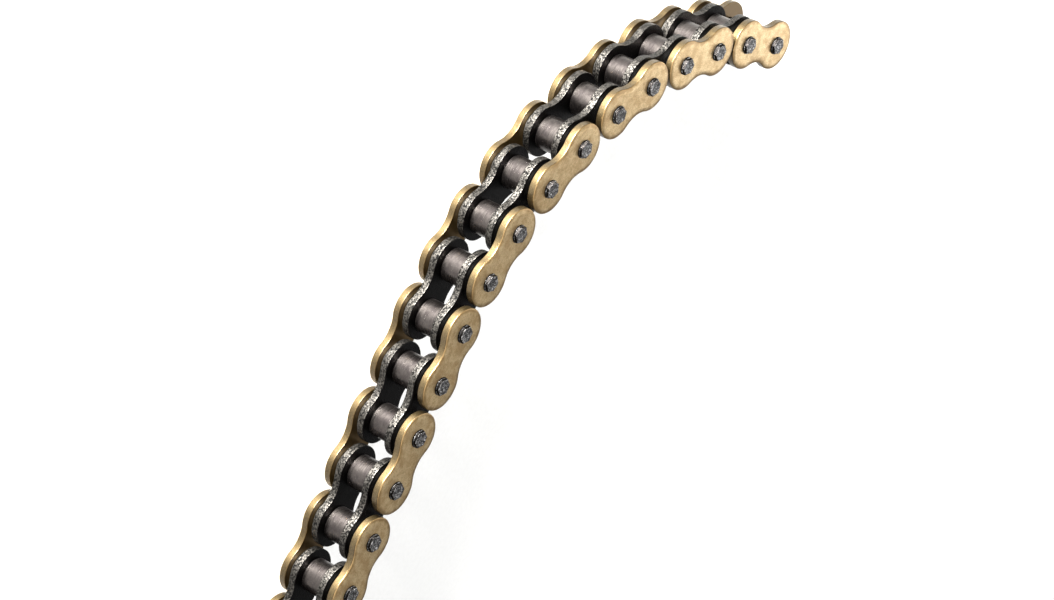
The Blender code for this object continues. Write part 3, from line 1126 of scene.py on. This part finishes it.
# Each softbox: its name, place, width and height in metres, power setting and colour.
SOFTBOXES = (
    ("overhead_softbox", (0.0, 0.0, 1.0), 1.0, 1.0, "overhead_power", "#FFFFFF"),
    ("back_softbox", (-0.26, 0.46, 0.30), 0.36, 0.30, "back_power", "#FFFFFF"),
    ("rear_softbox", (0.10, 0.62, 0.40), 0.90, 0.60, "rear_power", "#FFFFFF"),
    ("key_softbox", (-0.320, -0.500, 0.030), 0.34, 0.05, "key_power", "#FFFDF6"),
)


def add_softbox(name, place, width, height, power, colour):
    """Adds a soft area light that points at the middle of the chain."""
    light = bpy.data.lights.new(name, "AREA")
    light.shape = "RECTANGLE"
    light.size = width
    light.size_y = height
    light.energy = power
    light.color = linear(colour)[:3]
    lamp = bpy.data.objects.new(name, light)
    lamp.location = place
    lamp.rotation_mode = "QUATERNION"
    lamp.rotation_quaternion = (CHAIN_CENTRE - lamp.location).to_track_quat("-Z", "Y")
    bpy.context.scene.collection.objects.link(lamp)


def add_world(strength):
    """Adds even white light from all round."""
    world = bpy.data.worlds.new("studio")
    world.use_nodes = True
    background = world.node_tree.nodes["Background"]
    background.inputs["Color"].default_value = linear("#FFFFFF")
    background.inputs["Strength"].default_value = strength
    bpy.context.scene.world = world


def add_camera(stage):
    """Adds the camera, turned about its line of sight so that the chain climbs the frame."""
    lens = bpy.data.cameras.new("camera")
    lens.lens = stage.camera_lens
    lens.sensor_width = 36.0
    lens.clip_start = 0.01
    lens.clip_end = 20.0
    camera = bpy.data.objects.new("camera", lens)
    aim = CHAIN_CENTRE + Vector(stage.camera_aim)
    camera.location = around(aim, stage.camera_azimuth, stage.camera_elevation,
                             stage.camera_distance)
    camera.rotation_mode = "QUATERNION"
    upright = (aim - camera.location).to_track_quat("-Z", "Y")
    camera.rotation_quaternion = upright @ Quaternion((0, 0, 1), stage.camera_roll)
    bpy.context.scene.collection.objects.link(camera)
    bpy.context.scene.camera = camera


class CHAIN_OT_stage(bpy.types.Operator):
    """Set up the pale floor, the soft lights and the camera"""

    bl_idname = "chain.stage"
    bl_label = "Stage"

    def execute(self, context):
        stage = context.scene.chain_stage
        deselect_everything()
        bpy.ops.mesh.primitive_plane_add(size=8.0, location=(0, 0, CAD_BOX[0].z - FLOOR_GAP))
        floor = bpy.context.object
        floor.name = "floor"
        floor.data.materials.append(material_called("pale_floor", context.scene))
        for name, place, width, height, power, colour in SOFTBOXES:
            add_softbox(name, place, width, height, getattr(stage, power), colour)
        add_world(stage.world_strength)
        add_camera(stage)
        context.scene.view_settings.view_transform = "Standard"
        return {"FINISHED"}


class CHAIN_PT_panel(bpy.types.Panel):
    """Lists the chain's pieces in the sidebar."""

    bl_label = "Drive Chain"
    bl_idname = "CHAIN_PT_panel"
    bl_space_type = "VIEW_3D"
    bl_region_type = "UI"
    bl_category = "Drive Chain"

    def draw(self, context):
        for operator in OPERATORS:
            self.layout.operator(operator.bl_idname)


# ---------------------------------------------------------------- registration

SETTINGS = {
    "chain_plates": PlateSettings,
    "chain_pins": PinSettings,
    "chain_tubes": TubeSettings,
    "chain_seals": SealSettings,
    "chain_finishes": FinishSettings,
    "chain_stage": StageSettings,
}
OPERATORS = (
    CHAIN_OT_outer_plates,
    CHAIN_OT_inner_plates,
    CHAIN_OT_bushings,
    CHAIN_OT_rollers,
    CHAIN_OT_pins,
    CHAIN_OT_seals,
    CHAIN_OT_stage,
)


def register():
    """Registers the settings, the operators and the panel."""
    for name, group in SETTINGS.items():
        bpy.utils.register_class(group)
        setattr(bpy.types.Scene, name, PointerProperty(type=group))
    for operator in OPERATORS:
        bpy.utils.register_class(operator)
    bpy.utils.register_class(CHAIN_PT_panel)


def unregister():
    """Removes everything that register added."""
    bpy.utils.unregister_class(CHAIN_PT_panel)
    for operator in reversed(OPERATORS):
        bpy.utils.unregister_class(operator)
    for name, group in reversed(list(SETTINGS.items())):
        delattr(bpy.types.Scene, name)
        bpy.utils.unregister_class(group)


def main():
    """Builds every piece in order."""
    register()
    bpy.ops.chain.outer_plates()
    bpy.ops.chain.inner_plates()
    bpy.ops.chain.bushings()
    bpy.ops.chain.rollers()
    bpy.ops.chain.pins()
    bpy.ops.chain.seals()
    bpy.ops.chain.stage()


if __name__ == "__main__":
    main()
